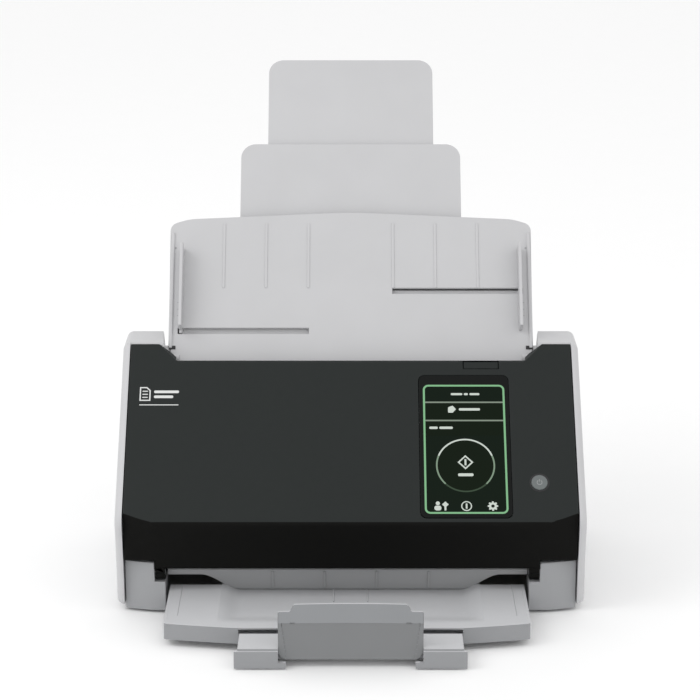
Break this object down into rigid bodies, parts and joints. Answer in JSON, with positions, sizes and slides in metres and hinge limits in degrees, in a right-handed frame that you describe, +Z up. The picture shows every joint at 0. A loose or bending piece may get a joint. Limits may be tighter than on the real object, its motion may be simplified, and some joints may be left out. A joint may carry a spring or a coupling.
{
  "type": "sheet fed document scanner",
  "caption": "Desktop sheet fed document scanner with a rear paper chute, a sloping hinged front cover with a touch screen, and a pull-out stacker with a fold-up stopper.",
  "frame": {"origin": "on the desk, under the middle of the object's box as it stands set up", "axes": "+X to the right as seen from the front, +Y to the back, +Z up"},
  "size_m": [0.296, 0.3114, 0.3165],
  "materials": {
    "casing_grey": "fine moulded texture",
    "tray_grey": "fine moulded texture",
    "cover_charcoal": "fine moulded texture",
    "guide_grey": "smooth moulded",
    "frame_black": "smooth moulded",
    "key_grey": "satin",
    "foot_rubber": "matt",
    "roller_rubber": "ground",
    "belt_rubber": "matt",
    "plated_steel": "zinc plated",
    "turned_steel": "ground",
    "gear_plastic": "natural acetal",
    "port_black": "smooth moulded",
    "board_green": "solder resist",
    "sensor_glass": "clear",
    "screen_glass": "coated",
    "screen_module": "lit display"
  },
  "bodies": {
    "base": {"base_casing": "casing_grey", "left_side_cover": "casing_grey", "right_side_cover": "casing_grey", "rear_cover": "casing_grey", "rubber_feet": "foot_rubber", "case_screws": "turned_steel", "left_chassis_plate": "plated_steel", "right_chassis_plate": "plated_steel", "latch_catch_pins": "turned_steel", "shaft_bushings": "gear_plastic", "cross_member": "frame_black", "feed_guide_plate": "guide_grey", "exit_guide": "guide_grey", "rear_image_sensor": "frame_black", "rear_sensor_glass": "sensor_glass", "main_circuit_board": "board_green", "usb_port": "plated_steel", "lan_port": "plated_steel", "dc_inlet": "port_black", "drive_motor": "plated_steel", "drive_belts": "belt_rubber"},
    "motor_rotor": {"motor_pinion": "turned_steel"},
    "exit_roller": {"exit_shaft": "turned_steel", "exit_rollers": "roller_rubber", "exit_gear": "gear_plastic", "exit_pulley": "gear_plastic"},
    "feed_roller": {"feed_shaft": "turned_steel", "feed_rollers": "roller_rubber", "feed_pulley": "gear_plastic"},
    "pick_roller": {"pick_shaft": "turned_steel", "pick_rollers": "roller_rubber", "pick_pulley": "gear_plastic"},
    "cover": {"front_cover": "cover_charcoal", "cover_hinge_pins": "turned_steel", "cover_inner_guide": "guide_grey", "cover_frame": "frame_black", "front_image_sensor": "frame_black", "front_sensor_glass": "sensor_glass", "touch_panel_glass": "screen_glass", "display_module": "screen_module", "operator_board": "board_green"},
    "idler_roller": {"idler_shaft": "turned_steel", "idler_rollers": "roller_rubber"},
    "brake_roller": {"brake_shaft": "turned_steel", "brake_rollers": "roller_rubber"},
    "power_key": {"power_button": "key_grey"},
    "lever": {"release_lever": "cover_charcoal"},
    "chute": {"chute_plate": "casing_grey", "chute_back_cover": "casing_grey", "chute_hinge_pins": "turned_steel"},
    "left_guide": {"left_side_guide": "casing_grey"},
    "right_guide": {"right_side_guide": "casing_grey"},
    "rack_pinion": {"guide_pinion": "gear_plastic"},
    "lower_extension": {"lower_chute_extension": "casing_grey"},
    "upper_extension": {"upper_chute_extension": "casing_grey"},
    "tray": {"stacker_tray": "tray_grey"},
    "tray_extension": {"stacker_extension": "tray_grey", "stopper_pin": "turned_steel"},
    "stopper": {"paper_stopper": "tray_grey"}
  },
  "joints": [
    {"name": "cover_hinge", "type": "hinge", "parent": "base", "child": "cover", "pos_m": [0, -0.06271, 0.027], "axis": [1, 0, 0], "range_deg": [0, 65]},
    {"name": "exit_roller_spin", "type": "hinge", "parent": "base", "child": "exit_roller", "pos_m": [0, -0.02496, 0.04911], "axis": [1, 0, 0], "continuous": true},
    {"name": "feed_roller_spin", "type": "hinge", "parent": "base", "child": "feed_roller", "pos_m": [0, 0.00492, 0.09882], "axis": [1, 0, 0], "continuous": true},
    {"name": "pick_roller_spin", "type": "hinge", "parent": "base", "child": "pick_roller", "pos_m": [0, 0.01831, 0.12111], "axis": [1, 0, 0], "continuous": true},
    {"name": "motor_spin", "type": "hinge", "parent": "base", "child": "motor_rotor", "pos_m": [0, -0.00438, 0.03675], "axis": [1, 0, 0], "continuous": true},
    {"name": "idler_roller_spin", "type": "hinge", "parent": "cover", "child": "idler_roller", "pos_m": [0, -0.04021, 0.05828], "axis": [1, 0, 0], "continuous": true},
    {"name": "brake_roller_spin", "type": "hinge", "parent": "cover", "child": "brake_roller", "pos_m": [0, -0.01034, 0.10799], "axis": [1, 0, 0], "continuous": true},
    {"name": "power_button_press", "type": "slide", "parent": "cover", "child": "power_key", "axis": [0, 0.7071, -0.7071], "range_m": [0, 0.0008], "stiffness_N_per_m": 400, "springref_m": -0.001},
    {"name": "release_lever_lift", "type": "hinge", "parent": "cover", "child": "lever", "pos_m": [0, 0.00336, 0.1323], "axis": [1, 0, 0], "range_deg": [0, 14], "stiffness_Nm_per_rad": 0.05, "springref_deg": -17.19},
    {"name": "chute_hinge", "type": "hinge", "parent": "base", "child": "chute", "pos_m": [0, 0.02439, 0.14056], "axis": [1, 0, 0], "range_deg": [0, 30]},
    {"name": "left_guide_slide", "type": "slide", "parent": "chute", "child": "left_guide", "axis": [1, 0, 0], "range_m": [0, 0.08]},
    {"name": "right_guide_slide", "type": "slide", "parent": "chute", "child": "right_guide", "axis": [-1, 0, 0], "range_m": [0, 0.08]},
    {"name": "guide_pinion_spin", "type": "hinge", "parent": "chute", "child": "rack_pinion", "pos_m": [0, 0.04387, 0.16647], "axis": [0, -0.8192, 0.5736], "range_deg": [0, 459]},
    {"name": "lower_extension_slide", "type": "slide", "parent": "chute", "child": "lower_extension", "axis": [0, 0.5736, 0.8192], "range_m": [-0.058, 0]},
    {"name": "upper_extension_slide", "type": "slide", "parent": "lower_extension", "child": "upper_extension", "axis": [0, 0.5736, 0.8192], "range_m": [-0.065, 0]},
    {"name": "tray_slide", "type": "slide", "parent": "base", "child": "tray", "axis": [0, -1, 0], "range_m": [-0.044, 0]},
    {"name": "tray_extension_slide", "type": "slide", "parent": "tray", "child": "tray_extension", "axis": [0, -1, 0], "range_m": [-0.015, 0]},
    {"name": "stopper_hinge", "type": "hinge", "parent": "tray_extension", "child": "stopper", "pos_m": [0, -0.14821, 0.0107], "axis": [1, 0, 0], "range_deg": [-72, 0]}
  ],
  "couplings": [
    {"joint": "feed_roller_spin", "follows": "exit_roller_spin", "ratio": 1},
    {"joint": "pick_roller_spin", "follows": "exit_roller_spin", "ratio": 1},
    {"joint": "motor_spin", "follows": "exit_roller_spin", "ratio": -4},
    {"joint": "idler_roller_spin", "follows": "exit_roller_spin", "ratio": -1.3333},
    {"joint": "right_guide_slide", "follows": "left_guide_slide", "ratio": 1},
    {"joint": "guide_pinion_spin", "follows": "left_guide_slide", "rad_per_m": 100}
  ]
}
